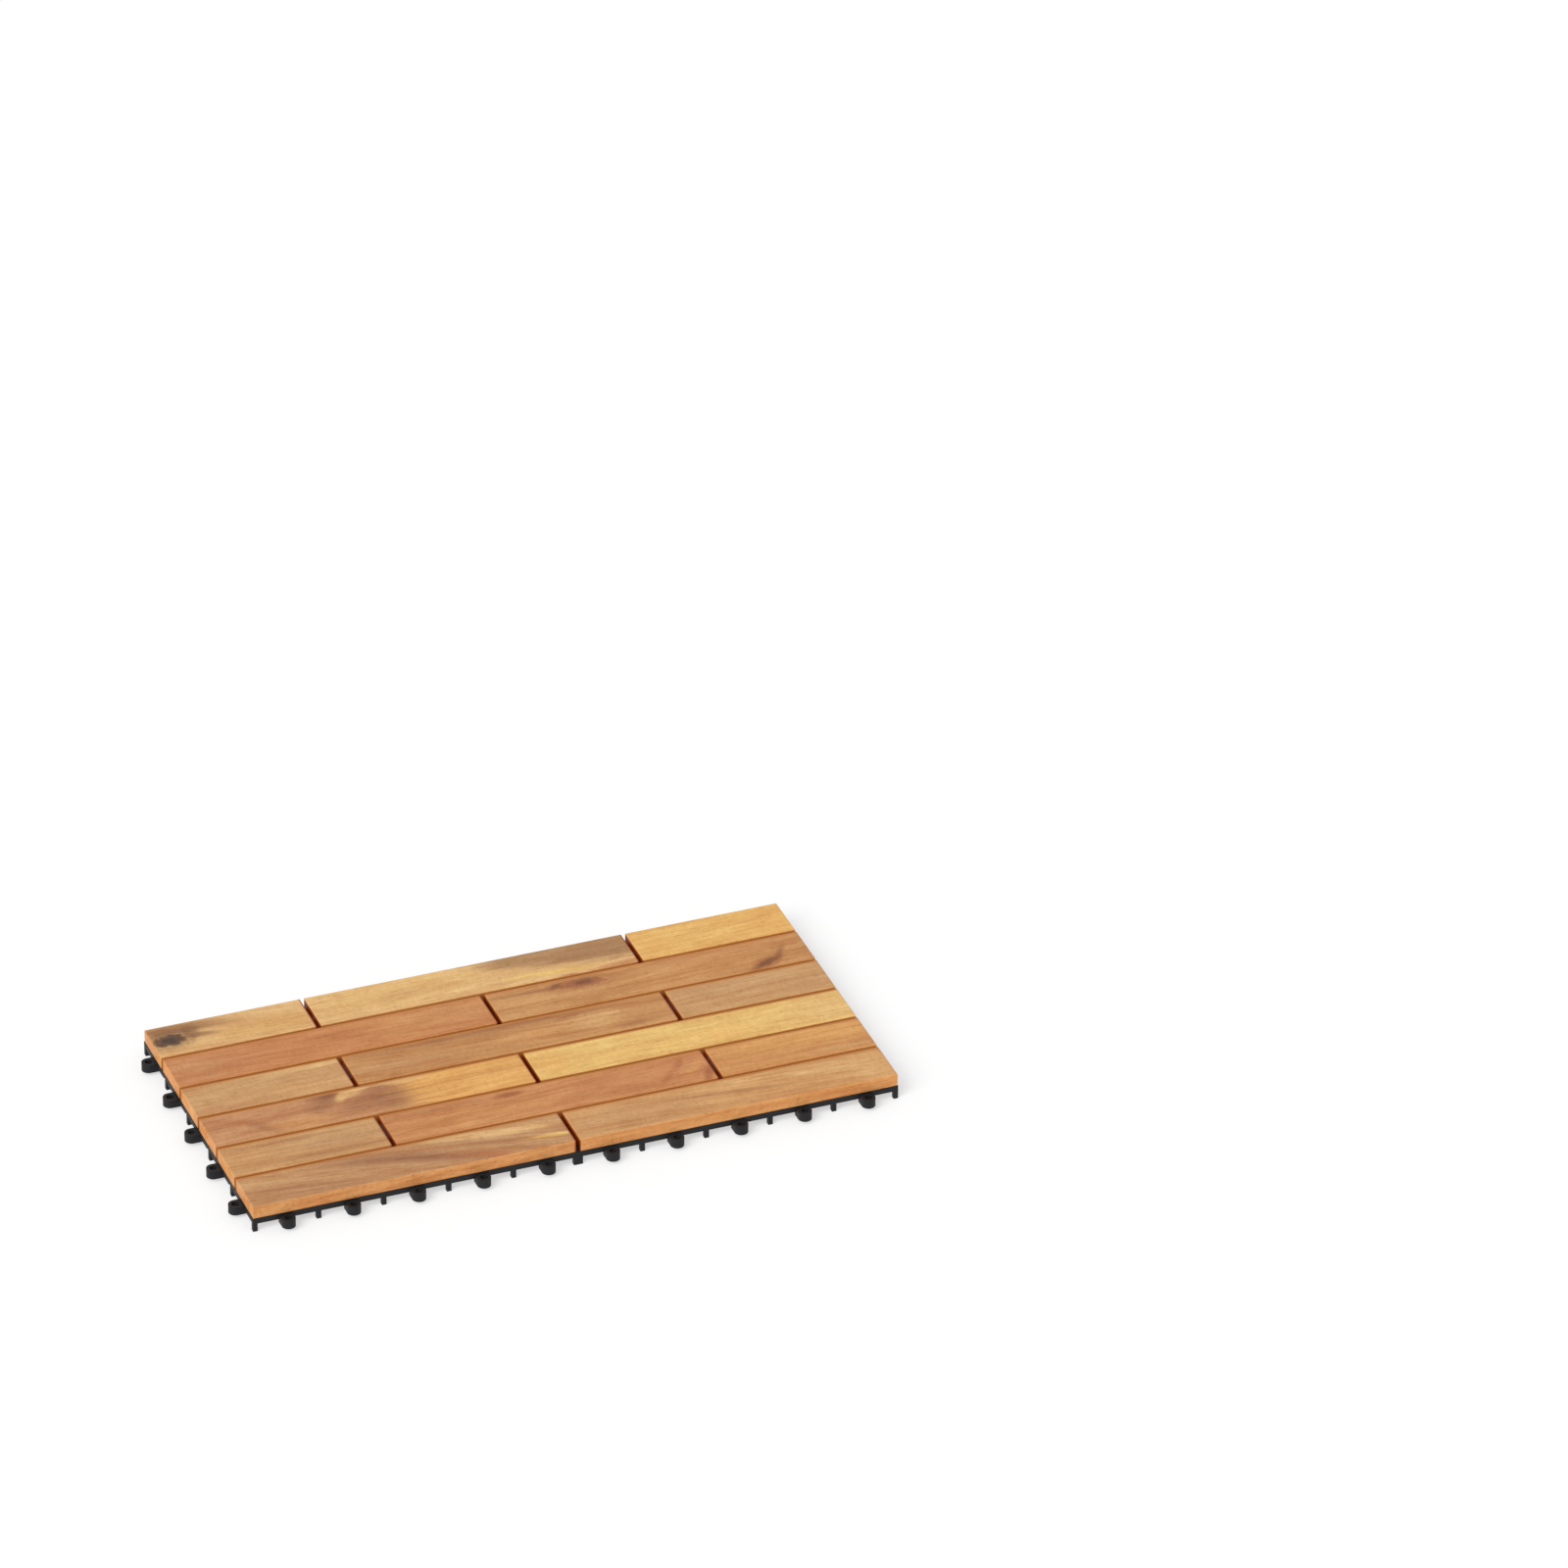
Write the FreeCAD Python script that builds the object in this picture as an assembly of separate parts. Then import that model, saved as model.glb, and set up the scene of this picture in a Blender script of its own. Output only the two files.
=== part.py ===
import FreeCAD, Part
import os
from FreeCAD import Placement, Rotation, Vector

# An interlocking deck tile, twice as long as it is deep: hardwood slats in running bond on
# one moulded base, which stands on feet and hooks to the next tile. The small screws that
# hold the slats from below aren't drawn. Millimetres. X runs along the slats, Y from front
# to back, Z up. The origin is on the floor, under the centre of the wood.

# Deck: the area that the wood covers, seen from above
deck_length = 600.0
deck_depth = 300.0
row_count = 6
groove = 3.0
end_gap = 4.0
middle_extra = 3.0
slat_thickness = 12.0
slat_round = 1.0

# Base: a lattice as high as its rim, on feet
base_height = 13.4
base_margin = 0.5
rim_height = 4.0
rim_thickness = 2.4
rib_thickness = 2.4
bearer_width = 8.0
foot_width = 4.2
foot_depth = 4.2
foot_taper = 0.6

# Links: loops on the front and the left, pegs on the back and the right
link_pitch = 60.0
tile_gap = 3.0
loop_radius = 6.3
loop_hole_radius = 3.4
loop_reach = 6.5
loop_height = 8.0
loop_headroom = 0.2
pad_thickness = 1.6
pad_lip = 1.6
pocket_clearance = 0.6
peg_clearance = 0.4
peg_tail = 0.4

# Turns about the upright axis, from the front to the other sides
quarter_turn = 90
to_left = -quarter_turn
to_back = 2 * quarter_turn
to_right = quarter_turn

# Worked out from the values above
half_length = deck_length / 2
half_depth = deck_depth / 2
edge_x = half_length + base_margin
edge_y = half_depth + base_margin
deck_height = base_height + slat_thickness
row_pitch = (deck_depth + groove) / row_count
slat_width = row_pitch - groove
long_slat = (deck_length - end_gap) / 2
middle_slat = long_slat + middle_extra
rib_bottom = base_height - rim_height
pad_bottom = base_height - pad_thickness
loop_top = pad_bottom - loop_headroom
loop_bottom = loop_top - loop_height
peg_radius = loop_hole_radius - peg_clearance
peg_inset = loop_reach - tile_gap
pocket_half_width = loop_radius + pocket_clearance


def box(x0, x1, y0, y1, z0, z1):
    """A block between two corners."""
    return Part.makeBox(x1 - x0, y1 - y0, z1 - z0, Vector(x0, y0, z0))


def rod(radius, x, y, z0, z1):
    """An upright round bar."""
    return Part.makeCylinder(radius, z1 - z0, Vector(x, y, z0))


def rectangle(x0, x1, y0, y1, z):
    """A closed level outline."""
    corners = [Vector(x0, y0, z), Vector(x1, y0, z), Vector(x1, y1, z), Vector(x0, y1, z)]
    return Part.makePolygon(corners + corners[:1])


def placed(shape, x, y, turn):
    """A copy of a shape drawn about the origin, turned about the upright axis and moved."""
    copy = shape.copy()
    copy.Placement = Placement(Vector(x, y, 0), Rotation(Vector(0, 0, 1), turn)) * copy.Placement
    return copy


def midpoints(places):
    """The places halfway between neighbours."""
    return [(a + b) / 2 for a, b in zip(places, places[1:])]


def links_along(centre, length):
    """Places of the links on one square's side, spaced evenly about its centre."""
    count = int(length // link_pitch)
    return [centre + (k - (count - 1) / 2) * link_pitch for k in range(count)]


# A long side is the sides of two squares, end to end. Feet stand midway between links.
squares = [links_along(-half_length / 2, half_length), links_along(half_length / 2, half_length)]
links_x = squares[0] + squares[1]
links_y = links_along(0, deck_depth)
feet_x = midpoints(squares[0]) + midpoints(squares[1])
feet_y = midpoints(links_y)
row_centres = [(row - (row_count - 1) / 2) * row_pitch for row in range(row_count)]
groove_lines = midpoints(row_centres)


def spans_of_row(row):
    """The slats of a row, as name: (left end, right end). From the front, rows of two long
    slats alternate with rows of one slightly longer slat between two short ones."""
    if row % 2 == 0:
        return {
            "left": (-half_length, -half_length + long_slat),
            "right": (half_length - long_slat, half_length),
        }
    return {
        "left": (-half_length, -middle_slat / 2 - end_gap),
        "middle": (-middle_slat / 2, middle_slat / 2),
        "right": (middle_slat / 2 + end_gap, half_length),
    }


def slat(span, y):
    """One slat with eased upper edges."""
    wood = box(*span, y - slat_width / 2, y + slat_width / 2, base_height, deck_height)
    upper = [e for e in wood.Edges if e.BoundBox.ZMin > deck_height - slat_round]
    return wood.makeFillet(slat_round, upper)


def gaps_between(bars, low, high):
    """The free stretches from low to high between bars, which are given as (centre, width)."""
    edges = [low]
    for centre, width in sorted(bars):
        edges += [centre - width / 2, centre + width / 2]
    edges.append(high)
    return list(zip(edges[::2], edges[1::2]))


def lattice():
    """Rim, cross ribs and bearers as one level sheet with open cells. A bearer runs under
    the middle of each row. The cross rib at the middle is the walls of both squares."""
    cross_ribs = [(x, rib_thickness) for x in feet_x] + [(0, 2 * rim_thickness)]
    bearers = [(y, bearer_width) for y in row_centres]
    columns = gaps_between(cross_ribs, -edge_x + rim_thickness, edge_x - rim_thickness)
    rows = gaps_between(bearers, -edge_y + rim_thickness, edge_y - rim_thickness)
    outline = rectangle(-edge_x, edge_x, -edge_y, edge_y, rib_bottom)
    cells = [rectangle(*x, *y, rib_bottom) for x in columns for y in rows]
    sheet = Part.makeFace([outline] + cells, "Part::FaceMakerBullseye")
    return sheet.extrude(Vector(0, 0, rim_height))


def rim_feet():
    """Feet flush with the outer face of the rim: one between links, one at each corner and
    one of double width in the middle of each long side."""
    spans = [(x - foot_width / 2, x + foot_width / 2) for x in feet_x]
    spans += [(-edge_x, -edge_x + foot_width), (edge_x - foot_width, edge_x)]
    spans += [(-foot_width, foot_width)]
    front = [box(*span, -edge_y, -edge_y + foot_depth, 0, base_height) for span in spans]
    sides = [(y - foot_width / 2, y + foot_width / 2) for y in feet_y]
    left = [box(-edge_x, -edge_x + foot_depth, *side, 0, base_height) for side in sides]
    return front + left + [placed(foot, 0, 0, to_back) for foot in front + left]


def inner_foot():
    """A foot under a cross rib that narrows towards the floor."""
    low = foot_width / 2
    high = low + foot_taper
    foot = Part.makeWedge(-high, 0, -high, -low, -low, high, base_height, high, low, low)
    foot.rotate(Vector(0, 0, 0), Vector(1, 0, 0), -quarter_turn)
    foot.translate(Vector(0, 0, base_height))
    return foot


def loop():
    """A loop drawn about the axis of its hole, with its root towards +Y, in the rim."""
    root = loop_reach - base_margin + rim_thickness
    tab = box(-loop_radius, loop_radius, 0, root, loop_bottom, loop_top)
    nose = rod(loop_radius, 0, 0, loop_bottom, loop_top)
    hole = rod(loop_hole_radius, 0, 0, loop_bottom, loop_top)
    return tab.fuse(nose).cut(hole).removeSplitter()


def pocket():
    """Room under the edge for the next tile's loop, drawn about the peg's axis."""
    mouth = -peg_inset - base_margin
    wide = pocket_half_width
    return box(-wide, wide, mouth, pocket_half_width, 0, pad_bottom)


def pad_and_peg():
    """The thin pad over a pocket, and the peg that hangs from it into the next tile's loop."""
    wide = pocket_half_width + pad_lip
    edge = -peg_inset - base_margin
    pad = box(-wide, wide, edge, wide, pad_bottom, base_height)
    peg = rod(peg_radius, 0, 0, loop_bottom - peg_tail, pad_bottom)
    return pad.fuse(peg)


def base():
    """The whole base, one moulding."""
    loops = [placed(loop(), x, -half_depth - loop_reach, 0) for x in links_x]
    loops += [placed(loop(), -half_length - loop_reach, y, to_left) for y in links_y]
    pockets = [placed(pocket(), x, half_depth - peg_inset, to_back) for x in links_x]
    pockets += [placed(pocket(), half_length - peg_inset, y, to_right) for y in links_y]
    pegs = [placed(pad_and_peg(), x, half_depth - peg_inset, to_back) for x in links_x]
    pegs += [placed(pad_and_peg(), half_length - peg_inset, y, to_right) for y in links_y]
    feet = rim_feet()
    feet += [placed(inner_foot(), x, y, 0) for x in feet_x + [0] for y in groove_lines]
    return lattice().fuse(feet + loops).cut(pockets).fuse(pegs).removeSplitter()


os.makedirs("parts", exist_ok=True)
for row, y in enumerate(row_centres):
    for name, span in spans_of_row(row).items():
        slat(span, y).exportStep(f"parts/slat_{row + 1}_{name}.step")
base().exportStep("parts/base.step")
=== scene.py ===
# %% [markdown]
# # An interlocking deck tile
# The tile is a ready-made piece of floor for a terrace: slats of oiled acacia screwed from
# below to a black plastic base with loops and pegs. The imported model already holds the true
# shape of every slat and of the base. So this script gives them their finishes, adds the
# screws and a skirt along the rim of the base, and sets up a plain studio. Sizes are written
# in millimetres, and MM turns them to metres.

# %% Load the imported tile
import math

import bmesh
import bpy
from mathutils import Matrix, Vector


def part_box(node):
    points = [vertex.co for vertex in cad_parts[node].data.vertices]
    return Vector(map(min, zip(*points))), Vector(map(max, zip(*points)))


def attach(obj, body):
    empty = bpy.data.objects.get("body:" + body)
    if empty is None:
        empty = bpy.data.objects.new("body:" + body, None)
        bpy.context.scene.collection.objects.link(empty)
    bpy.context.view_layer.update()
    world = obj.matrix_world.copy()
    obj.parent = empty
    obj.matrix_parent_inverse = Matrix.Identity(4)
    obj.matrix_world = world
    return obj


MM = 0.001
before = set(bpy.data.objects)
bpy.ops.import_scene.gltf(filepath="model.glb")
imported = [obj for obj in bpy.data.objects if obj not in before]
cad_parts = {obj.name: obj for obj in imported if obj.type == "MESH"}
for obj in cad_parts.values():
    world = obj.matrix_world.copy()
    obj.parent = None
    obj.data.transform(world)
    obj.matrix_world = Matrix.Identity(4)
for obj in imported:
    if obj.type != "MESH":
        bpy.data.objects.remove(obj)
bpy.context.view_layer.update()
base_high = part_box("base")[1]
slat_names = sorted(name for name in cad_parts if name.startswith("slat_"))

# %% [markdown]
# ## Camera
# Product pictures of flat goods are taken with a long lens from far away, so that the rows
# stay nearly parallel. The place, the lens and the slight roll below were found by fitting a
# pinhole camera to the corners of the wood. A rotation matrix with the camera's right, up and
# back directions as columns says exactly how it is held, which is easier to check than angles.

# %% Long lens from the front left
AZIMUTH = math.radians(-21.139)
ELEVATION = math.radians(31.914)
ROLL = math.radians(0.344)
FOCAL_LENGTH = 266.03
SENSOR_WIDTH = 36.0
CAMERA_PLACE = (-2875.9, -8081.6, 5646.6)
FARTHEST_SEEN = 100000.0

camera_back = Vector((
    math.sin(AZIMUTH) * math.cos(ELEVATION),
    -math.cos(AZIMUTH) * math.cos(ELEVATION),
    math.sin(ELEVATION),
))
camera_right = Vector((math.cos(AZIMUTH), math.sin(AZIMUTH), 0.0))
camera_up = camera_back.cross(camera_right)
held = Matrix((camera_right, camera_up, camera_back)).transposed().to_4x4()
lens = bpy.data.cameras.new("long_lens")
lens.sensor_width = SENSOR_WIDTH
lens.lens = FOCAL_LENGTH
lens.clip_end = FARTHEST_SEEN * MM
camera = bpy.data.objects.new("long_lens", lens)
place = Matrix.Translation(Vector(CAMERA_PLACE) * MM)
camera.matrix_world = place @ held @ Matrix.Rotation(ROLL, 4, "Z")
bpy.context.scene.collection.objects.link(camera)
bpy.context.scene.camera = camera
print("camera", round(camera.matrix_world.translation.length, 3), "m from the tile")

# %% [markdown]
# ## Helpers
# A picture editor shows colours as sRGB hex values, while a shader adds up light, which needs
# linear values. One function turns the first into the second. Another adds a node: its
# settings are attributes, and each of its inputs is either a number or another node's output.
# Inputs that share a name are told apart by number: a Mix node for colour takes its share at
# 0 and its two colours at 6 and 7, and gives the mixed colour at output 2. The last function
# starts an empty material. A noise stays mostly within the spread that is named here.

# %% Colour and node helpers
NOISE_LOW = 0.3
NOISE_HIGH = 0.7


def linear(hex_value):
    """An sRGB hex colour as the linear RGBA that a shader adds up."""
    shares = [int(hex_value[k:k + 2], 16) / 255 for k in (0, 2, 4)]
    light = [s / 12.92 if s <= 0.04045 else ((s + 0.055) / 1.055) ** 2.4 for s in shares]
    return (*light, 1.0)


def add_node(tree, kind, inputs, **settings):
    """Adds a node. An input is a number, or a link from another node's output."""
    node = tree.nodes.new(kind)
    for name, value in settings.items():
        setattr(node, name, value)
    for socket, value in inputs.items():
        if isinstance(value, bpy.types.NodeSocket):
            tree.links.new(value, node.inputs[socket])
        else:
            node.inputs[socket].default_value = value
    return node


def new_material(name):
    """An empty node material and its output node."""
    material = bpy.data.materials.new(name)
    material.use_nodes = True
    material.node_tree.nodes.clear()
    output = add_node(material.node_tree, "ShaderNodeOutputMaterial", {})
    return material, material.node_tree, output


print("helpers ready, mid grey is", round(linear("808080")[0], 3), "linear")

# %% [markdown]
# ## Acacia
# Acacia is a hard, lively wood: one board is straw yellow sapwood, the next red brown
# heartwood, and knots pull the grain round them. It could be a photograph wrapped on a slat,
# but a pattern made in space runs on round the edges and shows end grain on the ends without
# any extra work. So the slats get a solid texture. Its tones are named here once, as a wood
# merchant would name them, and each slat then picks its own.

# %% Tones of oiled acacia
TONES = {
    "straw": "f5d284",
    "gold": "f3c678",
    "honey": "f2bf72",
    "butter": "eec88e",
    "amber": "dda669",
    "tan": "deaf76",
    "sand": "d6ac79",
    "drab": "cea275",
    "russet": "d3a074",
    "cinnamon": "d2a069",
    "rust": "d49865",
    "copper": "d1915e",
    "brick": "bf7a4e",
    "redwood": "a5603f",
    "plum": "9c6b4e",
    "smoke": "b08a62",
    "umber": "7d5138",
    "bark": "463933",
}
print("tones:", len(TONES))

# %% [markdown]
# Each slat has a ground tone, the place of the tree's heart beside it (which sets how its
# rings cross the face), a lean of the grain in degrees, and figure, which is how strongly its
# rings and streaks show. Patches and knots are soft ovals of another tone. Both give their
# centre along and across the slat in millimetres, half their length, half their width, their
# turn, the tone and how strong it is. A patch also says how soft its edge is, and a knot has
# two tones, one for its halo and one for its core.

# %% What each slat looks like
SLATS = {
    "slat_1_left": dict(ground="drab", heart=(30, -45), lean=8, figure=1.0, patches=[
        (-30, 9, 48, 6, -11, "plum", 0.55, 0.8),
        (28, -6, 50, 7, -17, "plum", 0.55, 0.8),
        (36, -8, 40, 2.5, -17, "plum", 0.4, 0.6),
        (72, -17, 28, 5, -17, "brick", 0.7, 0.8),
        (86, -1, 38, 2.5, -10, "plum", 0.35, 0.7),
        (-100, -8, 50, 2, -8, "plum", 0.4, 0.7),
        (-84, -17, 46, 2, -5, "plum", 0.35, 0.7),
        (-120, 13, 44, 8, 0, "sand", 0.6, 0.8),
        (95, 13, 56, 6, -6, "butter", 1.0, 0.6),
        (132, -8, 22, 3, -5, "straw", 0.9, 0.6),
    ]),
    "slat_1_right": dict(ground="tan", heart=(-20, -60), lean=3, figure=0.8, patches=[
        (-90, -4, 60, 18, 0, "drab", 0.6, 0.8),
        (10, 13, 60, 4, -4, "butter", 0.6, 0.7),
        (0, 1, 48, 2, -6, "plum", 0.45, 0.8),
        (100, 9, 56, 9, 0, "butter", 0.85, 0.7),
        (45, -18, 26, 4, 0, "rust", 0.5, 0.8),
        (132, -5, 20, 12, 0, "butter", 0.5, 0.8),
    ]),
    "slat_2_left": dict(ground="sand", heart=(10, -120), lean=1, figure=0.8, patches=[
        (-50, 0, 24, 20, 0, "tan", 0.5, 0.8),
        (-10, 14, 60, 1.6, 0, "plum", 0.3, 0.8),
        (38, 1, 36, 5, 0, "plum", 0.28, 0.8),
        (26, -15, 52, 2, 0, "plum", 0.3, 0.8),
    ]),
    "slat_2_middle": dict(ground="rust", heart=(20, -80), lean=-2, figure=0.8, patches=[
        (-70, -6, 70, 16, 0, "amber", 0.6, 0.9),
        (-100, 15, 56, 3, 0, "plum", 0.3, 0.8),
        (-33, 14.5, 12, 3, 0, "redwood", 0.8, 0.7),
        (44, 2, 16, 8, 0, "brick", 0.4, 0.8),
        (125, 9, 10, 3, 62, "redwood", 0.45, 0.8),
        (112, -4, 22, 3, 48, "brick", 0.6, 0.8),
        (134, -2, 16, 3, 50, "amber", 0.6, 0.7),
        (145, -15, 12, 4, 62, "redwood", 0.7, 0.7),
    ]),
    "slat_2_right": dict(ground="amber", heart=(-60, -50), lean=1, figure=0.7, patches=[
        (20, 10, 70, 10, 0, "honey", 0.35, 0.9),
        (-31, -9, 44, 3, 0, "rust", 0.6, 0.7),
        (52, -16, 30, 5, 0, "sand", 0.5, 0.8),
    ]),
    "slat_3_left": dict(ground="russet", heart=(0, -35), lean=-2, figure=1.0, patches=[
        (98, 0, 72, 48, 0, "honey", 0.95, 0.3),
        (-120, 6, 28, 4, -20, "brick", 0.45, 0.8),
        (-99, -10, 15, 5, -45, "plum", 0.5, 0.8),
        (-66, -14, 30, 8, 0, "amber", 0.6, 0.8),
        (-45, 2, 12, 8, 0, "plum", 0.45, 0.7),
        (-10, -4, 18, 10, 10, "plum", 0.42, 0.8),
        (18, 1, 17, 22, 30, "plum", 0.62, 0.6),
        (-36, 15, 13, 7, -15, "umber", 0.5, 0.8),
        (-31, 18, 8, 3.5, 12, "plum", 0.9, 0.7),
        (-21, 12, 8, 4, 55, "butter", 1.0, 0.6),
        (-10, 16, 13, 4.5, 14, "butter", 1.0, 0.6),
        (38, 20, 20, 3.5, 0, "butter", 1.0, 0.7),
        (115, 4, 36, 2, 0, "amber", 0.5, 0.7),
    ]),
    "slat_3_right": dict(ground="straw", heart=(60, -90), lean=-1, figure=0.5, patches=[
        (-133, -3, 18, 16, 0, "honey", 0.6, 0.9),
        (28, -8, 26, 9, 0, "honey", 0.5, 0.8),
        (-50, -10, 60, 12, 0, "gold", 0.4, 0.9),
        (130, 0, 36, 24, 0, "butter", 0.5, 0.9),
    ]),
    "slat_4_left": dict(ground="sand", heart=(-20, -70), lean=-3, figure=0.6, patches=[
        (44, 19, 36, 4.5, 0, "butter", 0.9, 0.6),
        (-50, -19, 30, 6, 0, "russet", 0.6, 0.8),
        (30, -12, 36, 9, -8, "tan", 0.5, 0.9),
    ]),
    "slat_4_middle": dict(ground="cinnamon", heart=(40, -60), lean=2, figure=0.9, patches=[
        (-30, 18, 110, 6, 0, "plum", 0.4, 0.8),
        (59, 13, 11, 3, 12, "redwood", 0.45, 0.7),
        (82, 2, 22, 10, 0, "butter", 0.5, 0.8),
        (111, -17, 16, 3, 0, "plum", 0.4, 0.8),
        (-100, -6, 40, 8, 0, "drab", 0.5, 0.9),
        (20, -4, 26, 8, 0, "amber", 0.5, 0.9),
    ]),
    "slat_4_right": dict(ground="sand", heart=(-90, -60), lean=-2, figure=0.6, patches=[
        (-30, 8, 50, 14, 0, "drab", 0.4, 0.9),
        (50, -4, 30, 20, 0, "drab", 0.35, 0.9),
    ]),
    "slat_5_left": dict(ground="copper", heart=(-50, -90), lean=2, figure=0.6, patches=[
        (60, 2, 24, 14, 0, "amber", 0.6, 0.9),
        (115, 4, 40, 18, 0, "tan", 0.4, 0.9),
        (-120, 0, 40, 20, 0, "russet", 0.5, 0.9),
    ]),
    "slat_5_right": dict(ground="cinnamon", heart=(10, -55), lean=-2, figure=0.8, patches=[
        (-115, -2, 50, 16, 0, "tan", 0.6, 0.9),
        (-118, 12, 34, 2.5, -3, "plum", 0.45, 0.7),
        (75, 14, 76, 7, 0, "rust", 0.5, 0.8),
        (40, -6, 60, 12, 0, "amber", 0.5, 0.9),
        (121, -6, 11, 3, 58, "umber", 0.55, 0.7),
        (96, -20, 12, 3, 30, "umber", 0.45, 0.7),
    ], knots=[
        (-63, 11, 23, 7, -3, "redwood", "redwood", 0.55),
        (-58, 12, 9, 4, 0, "plum", "umber", 0.75),
        (-86, 13.5, 5, 3, 20, "plum", "umber", 0.7),
        (107, -15, 11, 4.5, 24, "redwood", "umber", 0.75),
    ]),
    "slat_6_left": dict(ground="butter", heart=(0, -60), lean=3, figure=0.7, patches=[
        (-44, 17, 40, 8, -4, "smoke", 0.9, 0.7),
        (-62, 10, 18, 6, 0, "umber", 0.5, 0.9),
        (-36, 8, 8, 8, 20, "umber", 0.6, 0.8),
        (-26, 0, 14, 3.5, -4, "umber", 0.6, 0.7),
        (44, -8, 50, 12, 0, "straw", 0.4, 0.9),
    ], knots=[
        (-57, -0.5, 15, 9, 8, "umber", "bark", 0.95),
    ]),
    "slat_6_middle": dict(ground="butter", heart=(-30, -80), lean=-2, figure=0.7, patches=[
        (-70, 4, 70, 20, 0, "straw", 0.4, 0.9),
        (-62, 0, 32, 6, 0, "sand", 0.4, 0.9),
        (96, 17, 92, 22, -7, "smoke", 0.85, 0.3),
        (124, 4, 50, 14, 0, "smoke", 0.5, 0.4),
        (76, -14, 42, 3.5, -4, "straw", 1.0, 0.5),
        (132, -16, 22, 1.6, 0, "butter", 0.9, 0.6),
        (132, -21, 24, 3, 3, "brick", 0.6, 0.6),
        (85, -23, 9, 1.6, 0, "brick", 0.6, 0.6),
    ]),
    "slat_6_right": dict(ground="gold", heart=(80, -70), lean=-1, figure=0.5, patches=[
        (-30, 2, 40, 18, 0, "straw", 0.4, 0.9),
        (-50, -6, 12, 10, 0, "honey", 0.4, 0.9),
        (58, 0, 16, 24, 0, "honey", 0.5, 0.9),
    ]),
}
spots = sum(len(look["patches"]) + len(look.get("knots", [])) for look in SLATS.values())
print("slats described:", len(SLATS), "with", spots, "patches and knots")

# %% [markdown]
# The finish itself is sawn and planed hardwood, sanded on top and dipped in oil. The pattern
# needs two sets of coordinates, both in millimetres from the middle of the slat's top. One
# stays straight, for patches and edges. The other follows the grain: it sways by up to 15 mm
# along and 4.5 mm aside over a hand's width, parts round the knots and leans, also a little
# into the wood. A knot pulls at the grain up to three times its own size away. Each slat reads
# the noises at a place of its own, worked out from its centre, so no two slats look alike.

# %% Straight coordinates and the grain's own
OVAL_THICKNESS = 1000.0
SWAY_LENGTH = 110.0
SWAY_WIDTH = 40.0
SWAY_ALONG = 30.0
SWAY_ASIDE = 9.0
SWAY_SHIFT = 0.37
KNOT_REACH = 3.0
KNOT_PULL = 0.75
LEAN_INWARDS = 0.3


def oval_distance(tree, here, along, side, long, wide, turn):
    """How far a point lies from an oval's centre: one on its outline. The oval is so thick
    that it runs right through the slat."""
    oval = add_node(tree, "ShaderNodeMapping", {
        "Vector": here,
        "Location": (along, side, 0.0),
        "Rotation": (0.0, 0.0, math.radians(turn)),
        "Scale": (long, wide, OVAL_THICKNESS),
    }, vector_type="TEXTURE")
    distance = add_node(tree, "ShaderNodeVectorMath", {0: oval.outputs[0]}, operation="LENGTH")
    return distance.outputs["Value"]


def follow_grain(tree, here, look, centre):
    """Coordinates that sway, part round the knots and lean as the slat's grain does."""
    slow = add_node(tree, "ShaderNodeMapping", {
        "Vector": here,
        "Location": [c * SWAY_SHIFT for c in centre],
        "Scale": (1 / SWAY_LENGTH, 1 / SWAY_WIDTH, 1 / SWAY_WIDTH),
    })
    sway = add_node(tree, "ShaderNodeTexNoise", {
        "Vector": slow.outputs[0], "Scale": 1.0, "Detail": 2.0})
    centred = add_node(tree, "ShaderNodeVectorMath", {
        0: sway.outputs["Color"], 1: (0.5, 0.5, 0.5)}, operation="SUBTRACT")
    grain = add_node(tree, "ShaderNodeVectorMath", {
        0: centred.outputs[0], 1: (SWAY_ALONG, SWAY_ASIDE, SWAY_ASIDE), 2: here,
    }, operation="MULTIPLY_ADD")
    straight = add_node(tree, "ShaderNodeSeparateXYZ", {0: here})
    for along, side, long, wide, turn, *_ in look.get("knots", []):
        far = oval_distance(tree, here, along, side, long, wide, turn)
        spread = add_node(tree, "ShaderNodeMapRange", {
            "Value": far, "From Min": KNOT_REACH, "From Max": 0.0, "To Max": KNOT_PULL,
        }, interpolation_type="SMOOTHSTEP")
        offset = add_node(tree, "ShaderNodeMath", {
            0: straight.outputs["Y"], 1: side}, operation="SUBTRACT")
        pull = add_node(tree, "ShaderNodeMath", {
            0: offset.outputs[0], 1: spread.outputs[0]}, operation="MULTIPLY")
        aside = add_node(tree, "ShaderNodeCombineXYZ", {"Y": pull.outputs[0]})
        grain = add_node(tree, "ShaderNodeVectorMath", {
            0: grain.outputs[0], 1: aside.outputs[0]}, operation="SUBTRACT")
    leaning = add_node(tree, "ShaderNodeMapping", {
        "Vector": grain.outputs[0],
        "Rotation": (0.0, math.radians(look["lean"] * LEAN_INWARDS), math.radians(look["lean"])),
    })
    return leaning.outputs[0]


print("grain coordinates ready")

# %% [markdown]
# Wood grain is several patterns of different size on top of each other, each one noise
# stretched along the slat. Real fibres and pores are about 0.2 mm across. They are drawn at
# 0.8 mm here, because finer ones vanish in the picture. Each layer gives the size of its marks
# along, across and through the slat in millimetres, and how much finer detail they carry.
# Growth rings are one more noise, read by the distance from the tree's heart, so they curve
# as the rings of a sawn log do.

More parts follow.
